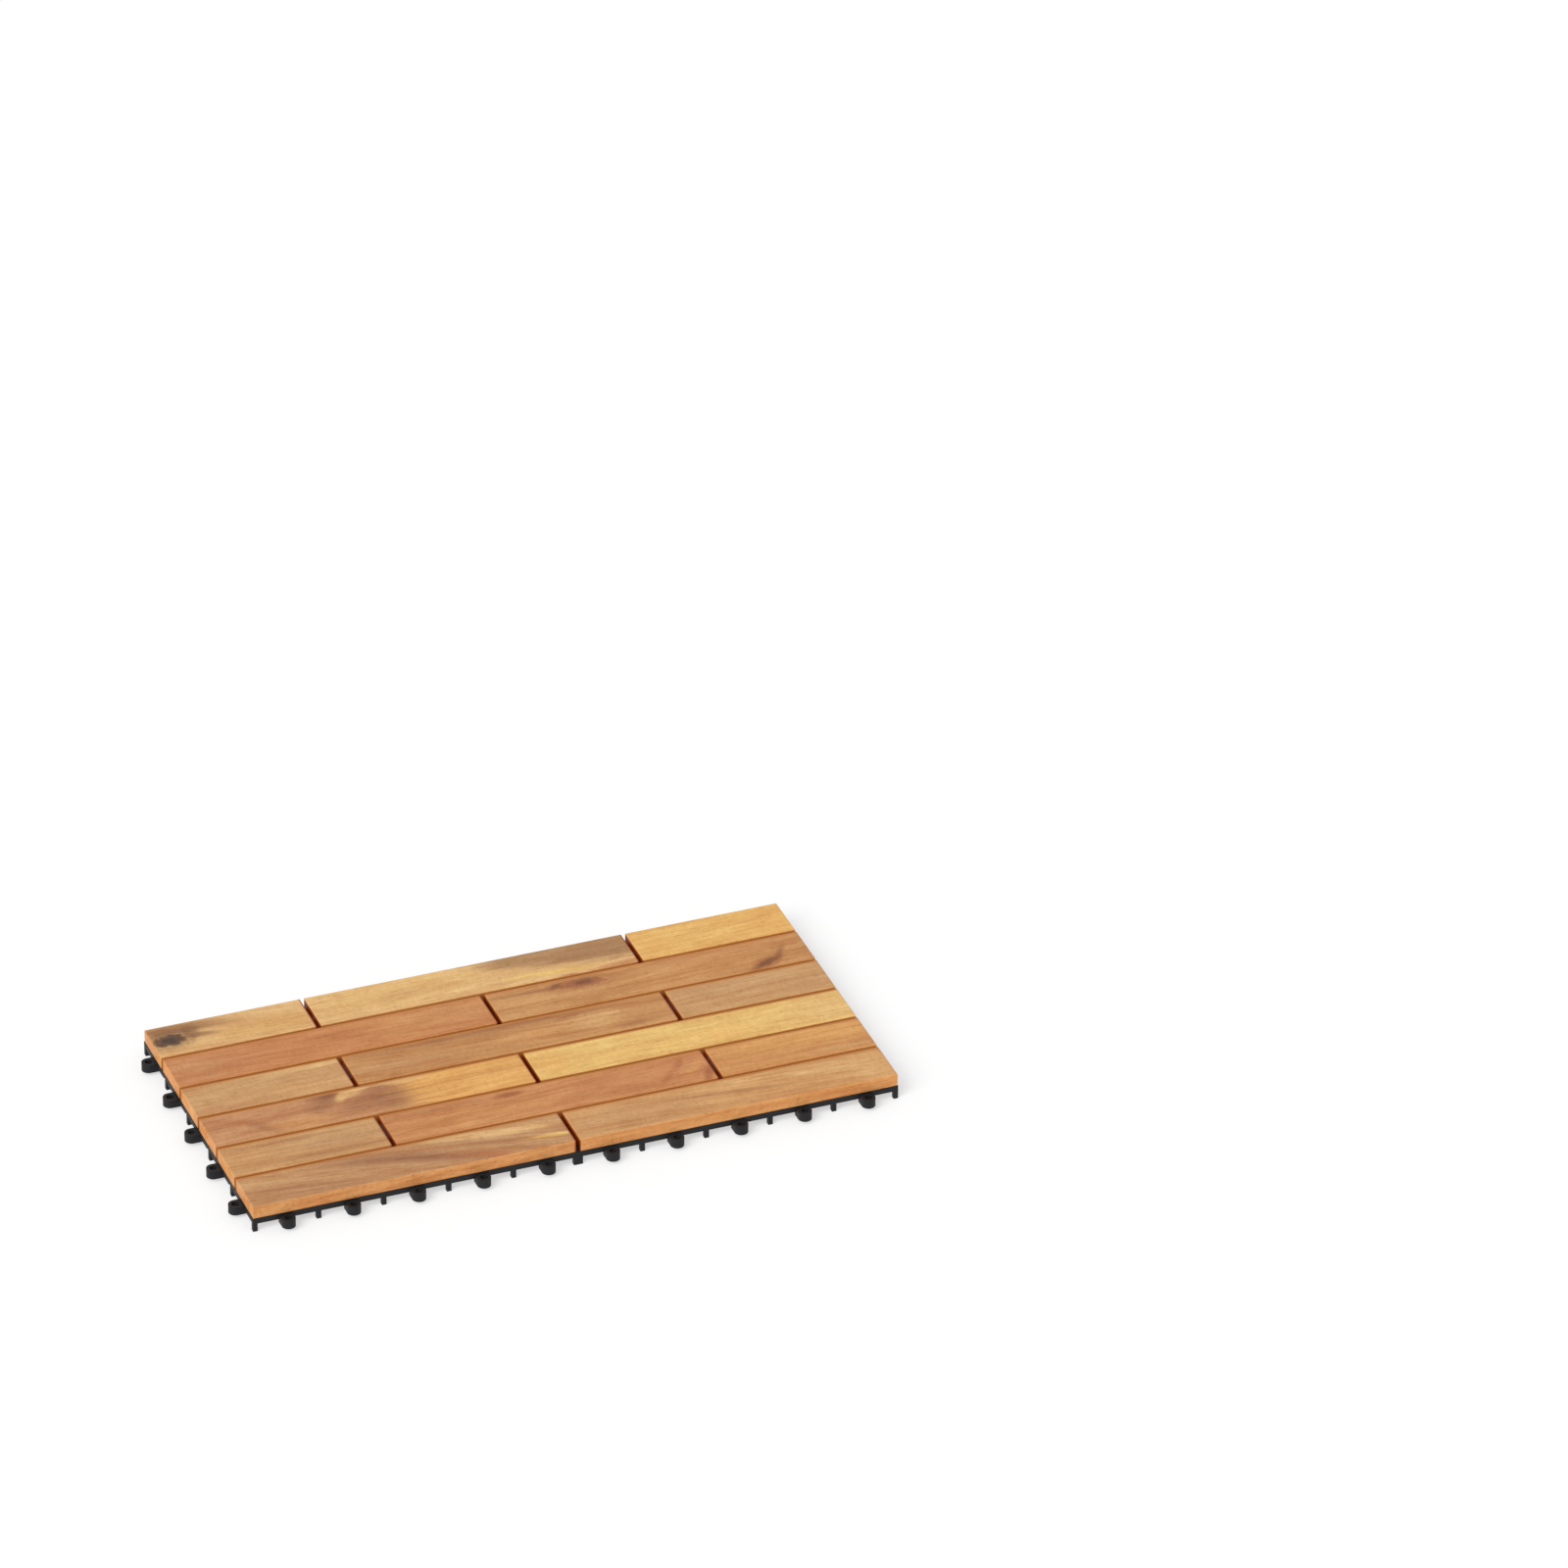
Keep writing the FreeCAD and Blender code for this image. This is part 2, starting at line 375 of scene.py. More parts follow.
# %% Layers of grain
GRAIN_LAYERS = {
    "bands": ((150.0, 12.0, 12.0), 2.0),
    "streaks": ((60.0, 3.2, 3.2), 4.0),
    "clouds": ((34.0, 14.0, 14.0), 3.0),
    "ripples": ((2.6, 11.0, 11.0), 1.0),
    "fibres": ((26.0, 0.8, 0.8), 2.0),
    "pores": ((7.0, 0.8, 0.8), 1.0),
}
LAYER_SHIFT = 0.11
RING_SPACING = 4.0


def grain_layers(tree, grain, centre, heart):
    """One noise for each layer, and one for the growth rings."""
    layers = {}
    for name, (size, detail) in GRAIN_LAYERS.items():
        stretched = add_node(tree, "ShaderNodeMapping", {
            "Vector": grain,
            "Location": [c * LAYER_SHIFT for c in centre],
            "Scale": [1 / s for s in size],
        })
        noise = add_node(tree, "ShaderNodeTexNoise", {
            "Vector": stretched.outputs[0], "Scale": 1.0, "Detail": detail})
        layers[name] = noise.outputs[0]
    from_heart = add_node(tree, "ShaderNodeMapping", {"Vector": grain, "Location": (0.0, *heart)})
    across = add_node(tree, "ShaderNodeVectorMath", {
        0: from_heart.outputs[0], 1: (0.0, 1 / RING_SPACING, 1 / RING_SPACING),
    }, operation="MULTIPLY")
    reach = add_node(tree, "ShaderNodeVectorMath", {0: across.outputs[0]}, operation="LENGTH")
    rings = add_node(tree, "ShaderNodeTexNoise", {
        "W": reach.outputs["Value"], "Scale": 1.0, "Detail": 3.0, "Roughness": 0.6,
    }, noise_dimensions="1D")
    layers["rings"] = rings.outputs[0]
    return layers


print("grain layers:", ", ".join(GRAIN_LAYERS))

# %% [markdown]
# The patches and knots are laid over the ground tone in turn. Adding the streak noise to the
# distance frays a patch along the grain. That noise is a half on average, so the edge of a
# patch lies at a distance of one plus half the fray. A knot is a branch cut across: dark bark
# at its centre, and its own rings that fade outwards. Its distance is made uneven by a lumpy
# noise, and each fade gives the distance where it sets in and the one where it is full.

# %% Patches and knots
FRAY = 1.5
KNOT_LUMP = 7.0
KNOT_UNEVEN = 1.2
KNOT_RINGS = 3.2
RING_FADE = (0.38, 0.62)
RING_LEAST = 0.35
HALO_FADE = (3.0, 1.2)
CORE_FADE = (2.05, 0.95)


def paint_patches(tree, here, streaks, tone, patches):
    """Lays the patches over a tone and gives the result."""
    edge = 1 + FRAY / 2
    for along, side, long, wide, turn, other, strength, soft in patches:
        far = oval_distance(tree, here, along, side, long, wide, turn)
        frayed = add_node(tree, "ShaderNodeMath", {
            0: streaks, 1: FRAY, 2: far}, operation="MULTIPLY_ADD")
        inside = add_node(tree, "ShaderNodeMapRange", {
            "Value": frayed.outputs[0],
            "From Min": edge + soft,
            "From Max": edge - soft,
            "To Max": strength,
        }, interpolation_type="SMOOTHSTEP")
        tone = add_node(tree, "ShaderNodeMix", {
            0: inside.outputs[0], 6: tone, 7: linear(TONES[other])}, data_type="RGBA").outputs[2]
    return tone


def paint_knots(tree, here, tone, knots):
    """Lays the knots over a tone: a halo with rings, then the centre."""
    for along, side, long, wide, turn, halo_tone, core_tone, strength in knots:
        far = oval_distance(tree, here, along, side, long, wide, turn)
        lumps = add_node(tree, "ShaderNodeTexNoise", {
            "Vector": here, "Scale": 1 / KNOT_LUMP, "Detail": 4.0})
        uneven = add_node(tree, "ShaderNodeMath", {
            0: lumps.outputs[0], 1: KNOT_UNEVEN, 2: far}, operation="MULTIPLY_ADD")
        ring_place = add_node(tree, "ShaderNodeMath", {
            0: uneven.outputs[0], 1: KNOT_RINGS}, operation="MULTIPLY")
        ring_noise = add_node(tree, "ShaderNodeTexNoise", {
            "W": ring_place.outputs[0], "Scale": 1.0, "Detail": 2.0}, noise_dimensions="1D")
        ring = add_node(tree, "ShaderNodeMapRange", {
            "Value": ring_noise.outputs[0],
            "From Min": RING_FADE[0],
            "From Max": RING_FADE[1],
            "To Min": RING_LEAST,
        })
        halo = add_node(tree, "ShaderNodeMapRange", {
            "Value": uneven.outputs[0],
            "From Min": HALO_FADE[0],
            "From Max": HALO_FADE[1],
            "To Max": strength,
        }, interpolation_type="SMOOTHSTEP")
        ringed = add_node(tree, "ShaderNodeMath", {
            0: halo.outputs[0], 1: ring.outputs[0]}, operation="MULTIPLY")
        tone = add_node(tree, "ShaderNodeMix", {
            0: ringed.outputs[0], 6: tone, 7: linear(TONES[halo_tone]),
        }, data_type="RGBA").outputs[2]
        core = add_node(tree, "ShaderNodeMapRange", {
            "Value": uneven.outputs[0],
            "From Min": CORE_FADE[0],
            "From Max": CORE_FADE[1],
            "To Max": strength,
        }, interpolation_type="SMOOTHSTEP")
        tone = add_node(tree, "ShaderNodeMix", {
            0: core.outputs[0], 6: tone, 7: linear(TONES[core_tone]),
        }, data_type="RGBA").outputs[2]
    return tone


print("rings to a knot's radius:", KNOT_RINGS)

# %% [markdown]
# Oil sinks deeper into sawn flanks and end grain, so those look more orange than the sanded
# top. A face counts as a flank by how little its normal points up. In the narrow grooves and
# joints the wood is painted darker, more with depth: painted shade where little light reaches.
# On the sides turned away from the light that painted shade reaches over the rounded edge.

# %% Flanks, grooves and joints
FLANK_TONE = "fdb770"
FLANK_FADE = (0.85, 0.3)
FLANK_SHARE = 0.7
# The groove and joint tones are painted shade: the dark inside the narrow gaps between slats.
GROOVE_PAINTED_SHADE = "b87538"
JOINT_PAINTED_SHADE = "95400c"
PAINTED_SHADE_DEPTH = 2.2
SIDE_DEPTH = 0.3
SHADE_OVER_EDGE_FULL = 0.35


def oil_flanks(tree, spot, tone):
    """Turns a tone more orange on every face that doesn't look up."""
    facing = add_node(tree, "ShaderNodeSeparateXYZ", {0: spot.outputs["Normal"]})
    flank = add_node(tree, "ShaderNodeMapRange", {
        "Value": facing.outputs["Z"],
        "From Min": FLANK_FADE[0],
        "From Max": FLANK_FADE[1],
        "To Max": FLANK_SHARE,
    })
    return add_node(tree, "ShaderNodeMix", {
        0: flank.outputs[0], 6: tone, 7: linear(FLANK_TONE)}, data_type="RGBA").outputs[2]


def paint_gap_shade(tree, here, wood, sides):
    """Paints shade on the edges that face another slat. Sides lists those: axis, direction,
    distance of the edge, how far in the painted shade starts, and its tone. Painted shade that
    starts at zero stays on the side itself and grows with depth down the gap."""
    place = add_node(tree, "ShaderNodeSeparateXYZ", {0: here})
    # Painted shade grows with depth down a gap, where less light reaches.
    deep = add_node(tree, "ShaderNodeMapRange", {
        "Value": place.outputs["Z"], "From Min": 0.0, "From Max": -PAINTED_SHADE_DEPTH})
    for axis, direction, edge, inset, painted_shade in sides:
        toward = add_node(tree, "ShaderNodeMath", {
            0: place.outputs[axis], 1: direction}, operation="MULTIPLY")
        # With an inset, the painted shade reaches over the rounded top edge on sides turned from
        # the light.
        if inset:
            share = add_node(tree, "ShaderNodeMapRange", {
                "Value": toward.outputs[0],
                "From Min": edge - inset,
                "From Max": edge - inset * SHADE_OVER_EDGE_FULL,
            })
        else:
            near = add_node(tree, "ShaderNodeMath", {
                0: toward.outputs[0], 1: edge - SIDE_DEPTH}, operation="GREATER_THAN")
            share = add_node(tree, "ShaderNodeMath", {
                0: near.outputs[0], 1: deep.outputs[0]}, operation="MULTIPLY")
        wood = add_node(tree, "ShaderNodeMix", {
            0: share.outputs[0], 6: wood, 7: linear(painted_shade)}, data_type="RGBA").outputs[2]
    return wood


print("stain is full at", PAINTED_SHADE_DEPTH, "mm down a groove")

# %% [markdown]
# Now the whole finish. Late wood, the darker half of each year's growth, shows where rings,
# bands and streaks add up. The other layers are tints. Each gives the noise value where it
# sets in and the one where it is full, its greatest share and its tone. All these only darken
# the wood, so the tones above are the lightest that show. The oil leaves a dull satin gloss, a
# roughness of 0.5 to 0.6 that is lowest in the late wood. Less than half of the usual
# reflection is left, because open pores scatter it. They lie a tenth of a millimetre deep.

# %% Oiled acacia, built once for each slat
LATE_RINGS = 0.6
LATE_FADE = (1.05, 1.65)
LATE_TONE = "e6d3c2"
LATE_SPREAD = (0.7, 1.3)
OILED_ROUGHNESS = (0.6, 0.48)
PORE_DEPTH = 0.12
TINTS = {
    "clouds": (NOISE_LOW, NOISE_HIGH, 0.5, "eadbce"),
    "ripples": (0.35, 0.65, 0.3, "e9dbcf"),
    "fibres": (0.35, 0.65, 0.5, "e0cfc2"),
    "pores": (0.64, 0.74, 0.5, "9a7658"),
}


def oiled_acacia(name, look, centre, sides):
    """Solid wood whose grain runs along the slat. The centre is the slat's, in millimetres."""
    material, tree, output = new_material("oiled_acacia_" + name)
    spot = add_node(tree, "ShaderNodeTexCoord", {})
    here = add_node(tree, "ShaderNodeMapping", {
        "Vector": spot.outputs["Object"],
        "Location": [-c for c in centre],
        "Scale": (1 / MM, 1 / MM, 1 / MM),
    }).outputs[0]
    grain = follow_grain(tree, here, look, centre)
    layers = grain_layers(tree, grain, centre, look["heart"])
    tone = linear(TONES[look["ground"]])
    tone = paint_patches(tree, here, layers["streaks"], tone, look["patches"])
    tone = paint_knots(tree, here, tone, look.get("knots", []))
    tone = oil_flanks(tree, spot, tone)

    late = add_node(tree, "ShaderNodeMath", {
        0: layers["bands"], 1: layers["streaks"]}, operation="ADD")
    ringed = add_node(tree, "ShaderNodeMath", {
        0: layers["rings"], 1: LATE_RINGS, 2: late.outputs[0]}, operation="MULTIPLY_ADD")
    late_share = add_node(tree, "ShaderNodeMapRange", {
        "Value": ringed.outputs[0],
        "From Min": LATE_FADE[0],
        "From Max": LATE_FADE[1],
        "To Max": look["figure"],
    }, interpolation_type="SMOOTHSTEP")
    tone = add_node(tree, "ShaderNodeMix", {
        0: late_share.outputs[0], 6: tone, 7: linear(LATE_TONE),
    }, data_type="RGBA", blend_type="MULTIPLY").outputs[2]
    shares = {}
    for layer, (low, high, most, tint) in TINTS.items():
        shares[layer] = add_node(tree, "ShaderNodeMapRange", {
            "Value": layers[layer], "From Min": low, "From Max": high, "To Max": most,
        }).outputs[0]
        tone = add_node(tree, "ShaderNodeMix", {
            0: shares[layer], 6: tone, 7: linear(tint),
        }, data_type="RGBA", blend_type="MULTIPLY").outputs[2]
    # Painted shade in the grooves and joints between slats.
    wood = paint_gap_shade(tree, here, tone, sides)

    gloss = add_node(tree, "ShaderNodeMapRange", {
        "Value": late.outputs[0],
        "From Min": LATE_SPREAD[0],
        "From Max": LATE_SPREAD[1],
        "To Min": OILED_ROUGHNESS[0],
        "To Max": OILED_ROUGHNESS[1],
    })
    relief = add_node(tree, "ShaderNodeMath", {
        0: layers["fibres"], 1: shares["pores"]}, operation="SUBTRACT")
    bump = add_node(tree, "ShaderNodeBump", {
        "Height": relief.outputs[0], "Strength": 0.5, "Distance": PORE_DEPTH * MM})
    shader = add_node(tree, "ShaderNodeBsdfPrincipled", {
        "Base Color": wood,
        "Roughness": gloss.outputs[0],
        "IOR": 1.47,
        "Specular IOR Level": 0.22,
        "Normal": bump.outputs[0],
    })
    tree.links.new(shader.outputs[0], output.inputs["Surface"])
    return material


print("tinted layers:", ", ".join(TINTS))

# %% [markdown]
# A side faces another slat where it lies inside the deck's outline. Those sides get painted
# shade: the groove's tone along the rows and the darker one of the joints at the ends. On the
# back and on the right, turned away from the light, the painted shade also reaches over the
# edge onto the top. Each entry below gives its axis, how far it reaches in from the edge in
# millimetres, and its tone.

# %% Finish on every slat
# Painted shade for the gaps: axis, reach over the edge, tone.
GAP_SHADES = ((1, 4.2, GROOVE_PAINTED_SHADE), (0, 2.1, JOINT_PAINTED_SHADE))
WELL_INSIDE = 1.0

deck_low = [min(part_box(name)[0][k] for name in slat_names) / MM for k in range(2)]
deck_high = [max(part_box(name)[1][k] for name in slat_names) / MM for k in range(2)]
for name in slat_names:
    low, high = [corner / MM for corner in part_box(name)]
    middle = (low + high) / 2
    sides = []
    for k, shade_reach, painted_shade in GAP_SHADES:
        edge = high[k] - middle[k]
        if low[k] > deck_low[k] + WELL_INSIDE:
            sides.append((k, -1, edge, 0, painted_shade))
        if high[k] < deck_high[k] - WELL_INSIDE:
            sides.append((k, 1, edge, 0, painted_shade))
            sides.append((k, 1, edge, shade_reach, painted_shade))
    finish = oiled_acacia(name, SLATS[name], (middle.x, middle.y, high.z), sides)
    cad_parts[name].data.materials.clear()
    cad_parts[name].data.materials.append(finish)
    print(name, "has", len(sides), "painted_shades")

# %% [markdown]
# ## Moulded polypropylene
# The base is injection moulded from black polypropylene. Carbon black makes it very dark, a
# little blue, and the mould's sparked skin leaves it dull, at half of the usual reflection,
# with a fine grit that is drawn half a millimetre coarse, so that it shows. A bought plastic
# texture would do, but two noises are enough: the grit for the bump, and a slow flow mark that
# shifts colour and roughness where the melt cooled unevenly.

# %% Black base
GRIT_SIZE = 0.5
GRIT_DEPTH = 0.05
FLOW_SIZE = 30.0
DARK_PLASTIC = "131416"
PALE_PLASTIC = "1f2023"
SPARKED_ROUGHNESS = (0.5, 0.64)


def moulded_polypropylene():
    """Black, dull, slightly uneven plastic with the skin of a sparked mould."""
    material, tree, output = new_material("moulded_polypropylene")
    spot = add_node(tree, "ShaderNodeTexCoord", {})
    grit = add_node(tree, "ShaderNodeTexNoise", {
        "Vector": spot.outputs["Object"], "Scale": 1 / (GRIT_SIZE * MM), "Detail": 2.0})
    flow = add_node(tree, "ShaderNodeTexNoise", {
        "Vector": spot.outputs["Object"], "Scale": 1 / (FLOW_SIZE * MM), "Detail": 3.0})
    tone = add_node(tree, "ShaderNodeMix", {
        0: flow.outputs[0], 6: linear(DARK_PLASTIC), 7: linear(PALE_PLASTIC)}, data_type="RGBA")
    skin = add_node(tree, "ShaderNodeMapRange", {
        "Value": flow.outputs[0],
        "From Min": NOISE_LOW,
        "From Max": NOISE_HIGH,
        "To Min": SPARKED_ROUGHNESS[0],
        "To Max": SPARKED_ROUGHNESS[1],
    })
    bump = add_node(tree, "ShaderNodeBump", {
        "Height": grit.outputs[0], "Strength": 0.6, "Distance": GRIT_DEPTH * MM})
    shader = add_node(tree, "ShaderNodeBsdfPrincipled", {
        "Base Color": tone.outputs[2],
        "Roughness": skin.outputs[0],
        "IOR": 1.49,
        "Specular IOR Level": 0.25,
        "Normal": bump.outputs[0],
    })
    tree.links.new(shader.outputs[0], output.inputs["Surface"])
    return material


polypropylene = moulded_polypropylene()
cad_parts["base"].data.materials.clear()
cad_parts["base"].data.materials.append(polypropylene)
print("plastic on the base,", len(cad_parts["base"].data.polygons), "faces")

# %% [markdown]
# ## Skirt of the rim
# Seen from outside, the rim of the base reaches lower than the ribs behind it, as a skirt that
# hides them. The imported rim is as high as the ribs, so the skirt is added here. One ring cut
# with booleans would do, but the loops and pockets leave only short stretches between them, so
# each stretch is a bar of its own, with its top buried in the rim and its lower edges rounded.
# On the long sides a bar ends just inside a loop, or where the room for a peg begins. The
# short sides have a known fault: their bars are counted from the length between the long
# ones, which holds four pitches, while the base has five links there. So those bars lie half
# a pitch out of place, cross the room for the pegs, and leave gaps beside the feet.

# %% One bar for each free stretch of the rim
RIM_UNDERSIDE = 9.4
SKIRT_DEPTH = 1.8
SKIRT_THICKNESS = 2.3
SKIRT_BURIED = 0.3
SKIRT_INSET = 0.05
SKIRT_ROUND = 0.4
SKIRT_ROUND_STEPS = 3
LINK_PITCH = 60.0
LOOP_GAP = 6.1
POCKET_GAP = 6.9
SAME_HEIGHT = 0.01


def free_stretches(half_side, link_gap):
    """From one end of a side to the other, what the links leave free of it."""
    count = int(2 * half_side // LINK_PITCH)
    links = [(k - (count - 1) / 2) * LINK_PITCH for k in range(count)]
    starts = [-half_side] + [link + link_gap for link in links]
    ends = [link - link_gap for link in links] + [half_side]
    return list(zip(starts, ends))


def add_bar(shape, low, high):
    """A block between two corners."""
    size = high - low
    block = bmesh.ops.create_cube(shape, size=1.0)["verts"]
    bmesh.ops.scale(shape, vec=size, verts=block)
    bmesh.ops.translate(shape, vec=low + size / 2, verts=block)


skirt = bmesh.new()
skirt_top = RIM_UNDERSIDE + SKIRT_BURIED
skirt_bottom = RIM_UNDERSIDE - SKIRT_DEPTH
edge_x = base_high[0] / MM - SKIRT_INSET
edge_y = base_high[1] / MM - SKIRT_INSET
inner_x = edge_x - SKIRT_THICKNESS
inner_y = edge_y - SKIRT_THICKNESS
for gap, front, back in ((LOOP_GAP, -edge_y, -inner_y), (POCKET_GAP, inner_y, edge_y)):
    for start, end in free_stretches(edge_x, gap):
        add_bar(skirt, Vector((start, front, skirt_bottom)), Vector((end, back, skirt_top)))
for gap, left, right in ((LOOP_GAP, -edge_x, -inner_x), (POCKET_GAP, inner_x, edge_x)):
    for start, end in free_stretches(inner_y, gap):
        add_bar(skirt, Vector((left, start, skirt_bottom)), Vector((right, end, skirt_top)))
lowest = skirt_bottom + SAME_HEIGHT
lower_edges = [e for e in skirt.edges if all(v.co.z < lowest for v in e.verts)]
bmesh.ops.bevel(skirt, geom=lower_edges, offset=SKIRT_ROUND, offset_type="OFFSET",
                affect="EDGES", segments=SKIRT_ROUND_STEPS, profile=0.5, material=-1)
bmesh.ops.scale(skirt, vec=(MM, MM, MM), verts=skirt.verts)
skirt_mesh = bpy.data.meshes.new("rim_skirt")
skirt.to_mesh(skirt_mesh)
skirt.free()
skirt_mesh.materials.append(polypropylene)
rim_skirt = bpy.data.objects.new("rim_skirt", skirt_mesh)
bpy.context.scene.collection.objects.link(rim_skirt)
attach(rim_skirt, "root")
print("skirt:", len(skirt_mesh.polygons), "faces")

# %% [markdown]
# ## Screws
# Each slat is held from below by two small pan head screws that go through the bearer under
# its row. Only the heads show. A head could be a ready primitive, but it is a domed disc with
# a cross recess, so it is turned like the real blank: a short profile is spun round the axis,
# and the recess is a cross outline bridged to the rim of the dome and pushed in. The dome is
# given in shares of the head's radius and height, from its bearing face to its crown.

# %% One screw head
HEAD_RADIUS = 3.3
HEAD_HEIGHT = 1.9
HEAD_DOME = ((0.97, 0.0), (1.0, 0.25), (0.93, 0.62), (0.78, 0.88), (0.6, 1.0))
NECK_RADIUS = 1.5
NECK_HEIGHT = 0.4
RECESS_REACH = 1.75
RECESS_HALF_WIDTH = 0.4
RECESS_DEPTH = 1.1
RECESS_TAPER = 0.55
HEAD_STEPS = 24


def head_profile():
    """Half the head's outline, from the neck over the dome to the recess: radius, height."""
    neck = [(NECK_RADIUS, NECK_HEIGHT), (NECK_RADIUS, 0.0)]
    return neck + [(HEAD_RADIUS * wide, -HEAD_HEIGHT * deep) for wide, deep in HEAD_DOME]


def cross_outline():
    """The twelve corners of a cross recess, counted round the axis."""
    wing = [(RECESS_REACH, -RECESS_HALF_WIDTH), (RECESS_REACH, RECESS_HALF_WIDTH),
            (RECESS_HALF_WIDTH, RECESS_HALF_WIDTH)]
    corners = []
    for turn in range(4):
        quarter = Matrix.Rotation(math.radians(90 * turn), 2)
        corners += [quarter @ Vector(corner) for corner in wing]
    return corners


def join_edges(shape, verts, closed):
    """Edges from each vertex to the next one."""
    pairs = list(zip(verts, verts[1:]))
    if closed:
        pairs.append((verts[-1], verts[0]))
    return [shape.edges.new(pair) for pair in pairs]


def screw_head():
    """A pan head with its bearing face at zero and its dome downwards, in millimetres."""
    shape = bmesh.new()
    profile = [shape.verts.new((radius, 0.0, z)) for radius, z in head_profile()]
    turned = join_edges(shape, profile, False)
    bmesh.ops.spin(shape, geom=profile + turned, cent=(0, 0, 0), axis=(0, 0, 1),
                   angle=math.radians(360), steps=HEAD_STEPS, use_merge=True)
    crown = -HEAD_HEIGHT + SAME_HEIGHT
    rim = [e for e in shape.edges if all(v.co.z < crown for v in e.verts)]
    corners = [shape.verts.new((*corner, -HEAD_HEIGHT)) for corner in cross_outline()]
    cross = join_edges(shape, corners, True)
    bmesh.ops.bridge_loops(shape, edges=rim + cross)
    pushed = bmesh.ops.extrude_edge_only(shape, edges=cross)["geom"]
    floor_verts = [g for g in pushed if isinstance(g, bmesh.types.BMVert)]
    floor_edges = [g for g in pushed if isinstance(g, bmesh.types.BMEdge)]
    bmesh.ops.scale(shape, vec=(RECESS_TAPER, RECESS_TAPER, 1.0), verts=floor_verts)
    bmesh.ops.translate(shape, vec=(0.0, 0.0, RECESS_DEPTH), verts=floor_verts)
    bmesh.ops.edgeloop_fill(shape, edges=[e for e in floor_edges if e.is_boundary])
    neck = [e for e in shape.edges if e.is_boundary]
    bmesh.ops.edgeloop_fill(shape, edges=neck)
    bmesh.ops.recalc_face_normals(shape, faces=shape.faces)
    return shape


head = screw_head()
open_edges = [e for e in head.edges if not e.is_manifold]
print("screw head:", len(head.faces), "faces,", len(open_edges), "open edges")

# %% [markdown]
# The heads sit against the underside of the bearers, two to a slat, 20 mm in from its ends.
# Each is turned another way, as a driver leaves it. They are copied into one mesh, because
# they are one kind of fastener in one material.

# %% Two screws to each slat
SCREW_INSET = 20.0
TURN_PER_MM = 1.7

head_mesh = bpy.data.meshes.new("screw_head")
head.to_mesh(head_mesh)
head.free()
every_screw = bmesh.new()
for name in slat_names:
    low, high = [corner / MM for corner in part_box(name)]
    for x in (low.x + SCREW_INSET, high.x - SCREW_INSET):
        before = len(every_screw.verts)
        every_screw.from_mesh(head_mesh)
        every_screw.verts.ensure_lookup_table()
        added = every_screw.verts[before:]
        twist = Matrix.Rotation(x * TURN_PER_MM + low.y, 4, "Z")
        seat = Matrix.Translation((x, (low.y + high.y) / 2, RIM_UNDERSIDE))
        bmesh.ops.transform(every_screw, matrix=Matrix.Scale(MM, 4) @ seat @ twist, verts=added)
screw_mesh = bpy.data.meshes.new("slat_screws")
every_screw.to_mesh(screw_mesh)
every_screw.free()
bpy.data.meshes.remove(head_mesh)
slat_screws = bpy.data.objects.new("slat_screws", screw_mesh)
bpy.context.scene.collection.objects.link(slat_screws)
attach(slat_screws, "root")
print("screws:", 2 * len(slat_names), "faces:", len(screw_mesh.polygons))

# %% [markdown]
# Such screws are steel with bright zinc plating, tumbled in a barrel, which gives a light
# grey metal with a soft gloss and small cloudy patches. A metal keeps the default IOR.

# %% Zinc plated steel
ZINC_CLOUD = 2.5
DARK_ZINC = "a4a8ad"
PALE_ZINC = "cfd2d4"
PLATED_ROUGHNESS = (0.42, 0.26)


def zinc_plated_steel():
    """Bright, slightly blue barrel plated zinc."""
    material, tree, output = new_material("zinc_plated_steel")
    spot = add_node(tree, "ShaderNodeTexCoord", {})
    cloud = add_node(tree, "ShaderNodeTexNoise", {
        "Vector": spot.outputs["Object"], "Scale": 1 / (ZINC_CLOUD * MM), "Detail": 3.0})
    tone = add_node(tree, "ShaderNodeMix", {
        0: cloud.outputs[0], 6: linear(DARK_ZINC), 7: linear(PALE_ZINC)}, data_type="RGBA")
    haze = add_node(tree, "ShaderNodeMapRange", {
        "Value": cloud.outputs[0],
        "From Min": NOISE_LOW,
        "From Max": NOISE_HIGH,
        "To Min": PLATED_ROUGHNESS[0],
        "To Max": PLATED_ROUGHNESS[1],
    })
    shader = add_node(tree, "ShaderNodeBsdfPrincipled", {
        "Base Color": tone.outputs[2],
        "Metallic": 1.0,
        "Roughness": haze.outputs[0],
    })
    tree.links.new(shader.outputs[0], output.inputs["Surface"])
    return material


screw_mesh.materials.append(zinc_plated_steel())
print("plated:", screw_mesh.materials[0].name)

# %% [markdown]
# ## Studio
# A white sweep and soft light from above on the left, as for catalogue pictures. A lamp panel
# would fade with distance and leave the far floor grey, so the key is a sun with a wide disc,
# which is even everywhere, and the sky fills the shadows. Together they light a level face at
# a strength of about one, so a colour renders about as it is written. The floor and the sky
# are white where they are seen, straight, in a gloss or through glass. In the light that they
# throw on the tile they count as grey, and the floor keeps the tile's shadow.

# %% Floor, sky and key light
FLOOR_TONE = "d8d8d8"
FLOOR_GLOW = 0.55
FLOOR_HALF_SIZE = 40000.0
SKY = 0.55
KEY_LEVEL = 0.47
KEY_DISC = math.radians(38)
KEY_FROM = Vector((-0.65, -0.42, 0.635)).normalized()
WHITE = linear("ffffff")


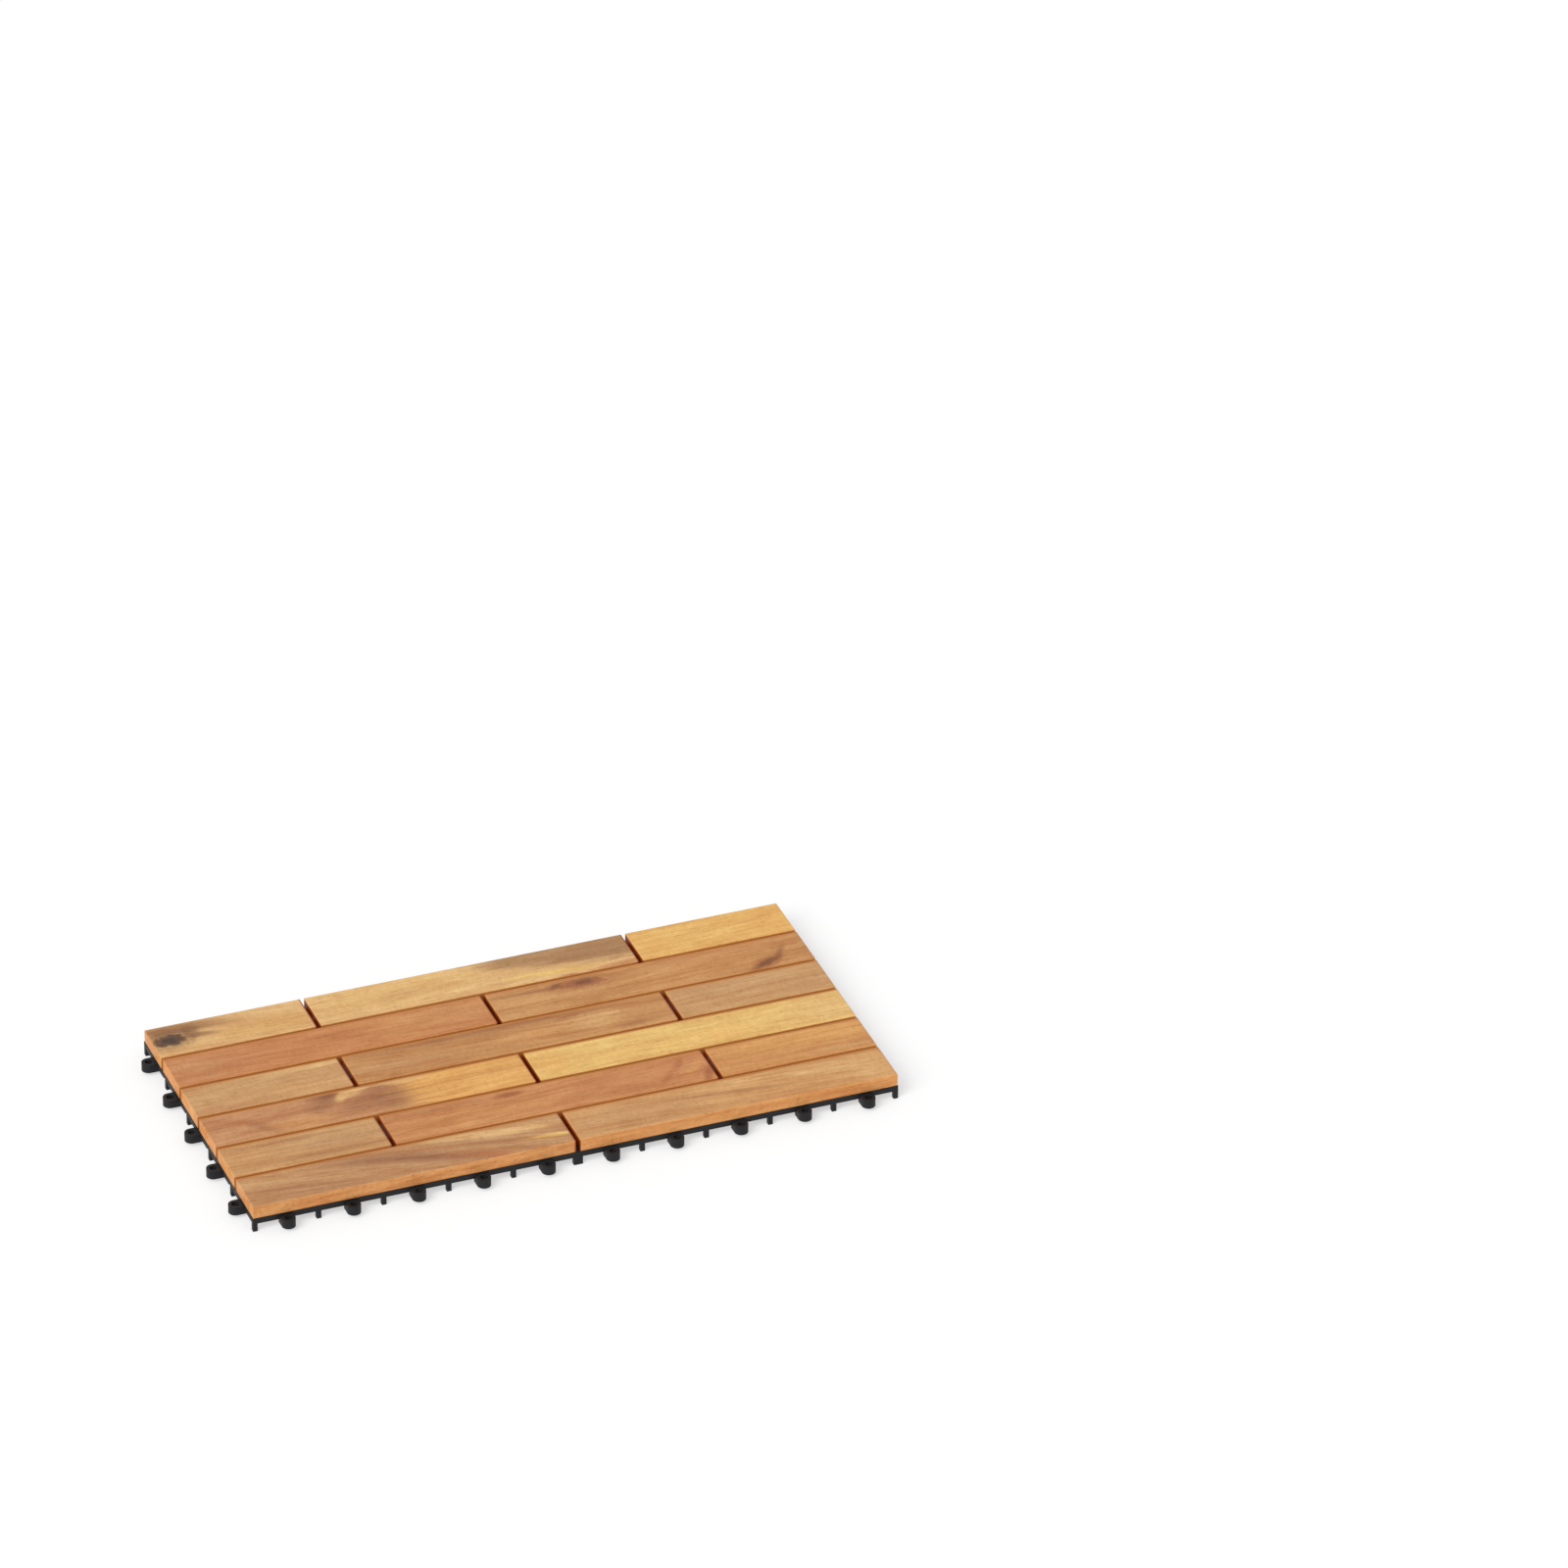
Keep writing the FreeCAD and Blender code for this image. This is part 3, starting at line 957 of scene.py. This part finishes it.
def in_view(tree):
    """One where a ray comes from the camera, from a gloss or through glass, otherwise zero."""
    path = add_node(tree, "ShaderNodeLightPath", {})
    mirrored = add_node(tree, "ShaderNodeMath", {
        0: path.outputs["Is Camera Ray"], 1: path.outputs["Is Glossy Ray"]}, operation="MAXIMUM")
    passed = add_node(tree, "ShaderNodeMath", {
        0: mirrored.outputs[0], 1: path.outputs["Is Transmission Ray"]}, operation="MAXIMUM")
    return passed.outputs[0]


floor_material, tree, output = new_material("white_sweep")
seen = in_view(tree)
paper = add_node(tree, "ShaderNodeMix", {
    0: seen, 6: linear(FLOOR_TONE), 7: WHITE}, data_type="RGBA")
matt = add_node(tree, "ShaderNodeBsdfDiffuse", {"Color": paper.outputs[2]})
glow = add_node(tree, "ShaderNodeEmission", {"Color": WHITE, "Strength": 1.0})
glow_share = add_node(tree, "ShaderNodeMath", {
    0: seen, 1: FLOOR_GLOW}, operation="MULTIPLY")
sweep = add_node(tree, "ShaderNodeMixShader", {
    0: glow_share.outputs[0], 1: matt.outputs[0], 2: glow.outputs[0]})
tree.links.new(sweep.outputs[0], output.inputs["Surface"])

floor_mesh = bpy.data.meshes.new("floor")
shape = bmesh.new()
bmesh.ops.create_grid(shape, x_segments=1, y_segments=1, size=FLOOR_HALF_SIZE * MM)
shape.to_mesh(floor_mesh)
shape.free()
floor = bpy.data.objects.new("floor", floor_mesh)
floor_mesh.materials.append(floor_material)
bpy.context.scene.collection.objects.link(floor)

world = bpy.data.worlds.new("studio")
world.use_nodes = True
bpy.context.scene.world = world
sky = world.node_tree
sky.nodes.clear()
lit = add_node(sky, "ShaderNodeBackground", {"Color": WHITE, "Strength": SKY})
white = add_node(sky, "ShaderNodeBackground", {"Color": WHITE, "Strength": 1.0})
either = add_node(sky, "ShaderNodeMixShader", {
    0: in_view(sky), 1: lit.outputs[0], 2: white.outputs[0]})
add_node(sky, "ShaderNodeOutputWorld", {"Surface": either.outputs[0]})

key = bpy.data.lights.new("key", "SUN")
key.energy = math.pi * KEY_LEVEL / KEY_FROM.z
key.angle = KEY_DISC
key_lamp = bpy.data.objects.new("key", key)
key_lamp.rotation_euler = KEY_FROM.to_track_quat("Z", "Y").to_euler()
bpy.context.scene.collection.objects.link(key_lamp)
bpy.context.scene.view_settings.view_transform = "Standard"
print("light on a level face:", round(SKY + KEY_LEVEL, 2))
